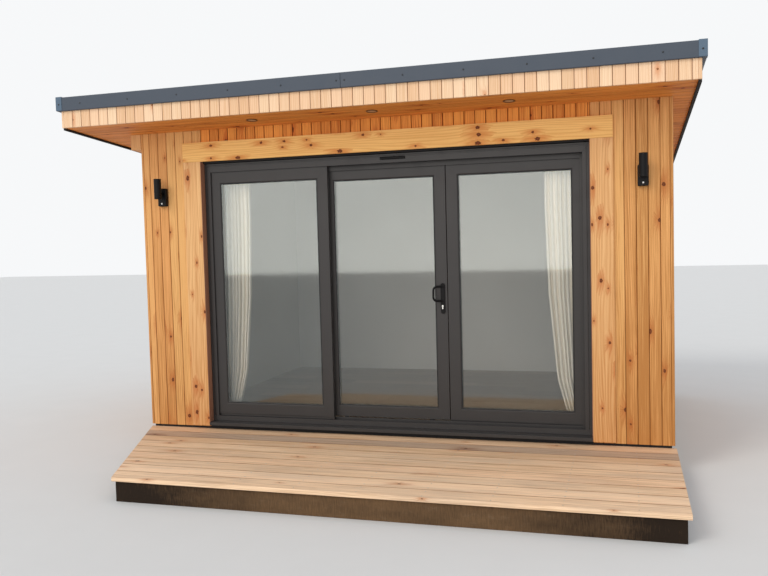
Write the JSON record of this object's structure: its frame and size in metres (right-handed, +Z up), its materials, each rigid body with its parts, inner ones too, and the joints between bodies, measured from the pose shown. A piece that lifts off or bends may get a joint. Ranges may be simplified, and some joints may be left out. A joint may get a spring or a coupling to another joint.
{
  "type": "garden office pod",
  "caption": "Timber-clad garden room with a canopy roof, a wide three-pane sliding glass door and a low front deck.",
  "frame": {"origin": "on the ground, under the middle of the base and on the doorway's centre line", "axes": "+X to the right along the front, +Y from the doors to the back wall, +Z up"},
  "size_m": [4.74, 4.612, 2.8297],
  "materials": {
    "wall_panel": "painted plasterboard lining over insulated panels",
    "floor_boards": "wood-look laminate, satin",
    "cladding": "oiled softwood tongue-and-groove boards, satin, knotty",
    "trim_boards": "oiled softwood boards, satin, knotty",
    "fascia_boards": "pale softwood boards, dry finish",
    "soffit_boards": "oiled softwood boards, satin",
    "roof_core": "boarded and insulated roof panel",
    "membrane": "matt rubber sheet",
    "roof_trim": "blue-grey coated sheet, satin",
    "gutter": "black plastic, satin gloss",
    "door_frame": "anthracite plastic profile, fine satin",
    "glass": "clear sealed glass unit",
    "black_metal": "black powder coat, satin",
    "lock_metal": "bright plated",
    "light_lens": "satin ring and lens",
    "deck_boards": "weathered softwood deck boards",
    "deck_frame": "treated timber",
    "riser": "dark stained timber, matt",
    "track": "white plastic track",
    "curtain": "sage and cream woven cloth, soft"
  },
  "bodies": {
    "pod": {"base_beams": "deck_frame", "base_joists": "deck_frame", "door_sole": "deck_frame", "floor": "floor_boards", "front_wall_sides": "wall_panel", "front_wall_head": "wall_panel", "side_walls": "wall_panel", "back_wall": "wall_panel", "front_cladding_sides": "cladding", "front_cladding_head": "cladding", "side_cladding": "cladding", "back_cladding": "cladding", "left_eaves_batten": "cladding", "door_trim_head": "trim_boards", "door_trim_sides": "trim_boards", "roof_panel": "roof_core", "front_fascia": "fascia_boards", "rear_fascia": "fascia_boards", "side_fascias": "fascia_boards", "side_drip_strips": "riser", "front_soffit": "soffit_boards", "side_soffits": "soffit_boards", "rear_soffit": "soffit_boards", "roof_membrane": "membrane", "roof_trim_front": "roof_trim", "roof_trim_sides": "roof_trim", "roof_corner_caps": "roof_trim", "rear_gutter": "gutter", "rear_downpipe": "gutter", "deck_boards": "deck_boards", "deck_riser": "riser", "deck_joists": "deck_frame", "door_sill": "door_frame", "door_frame_head": "door_frame", "door_threshold": "door_frame", "door_frame_jambs": "door_frame", "trickle_vent": "black_metal", "left_leaf_frame": "door_frame", "left_leaf_glass": "glass", "right_leaf_frame": "door_frame", "right_leaf_glass": "glass", "left_leaf_interlock": "door_frame", "downlights": "light_lens", "wall_lights": "black_metal", "curtain_track": "track", "left_curtain": "curtain", "right_curtain": "curtain"},
    "sliding_leaf": {"sliding_leaf_frame": "door_frame", "sliding_leaf_glass": "glass", "sliding_leaf_interlock": "door_frame", "leaf_rollers": "track", "door_handle": "black_metal", "lock_cylinder": "lock_metal"}
  },
  "joints": [
    {"name": "leaf_slide", "type": "slide", "parent": "pod", "child": "sliding_leaf", "axis": [-1, 0, 0], "range_m": [0, 0.76]}
  ]
}
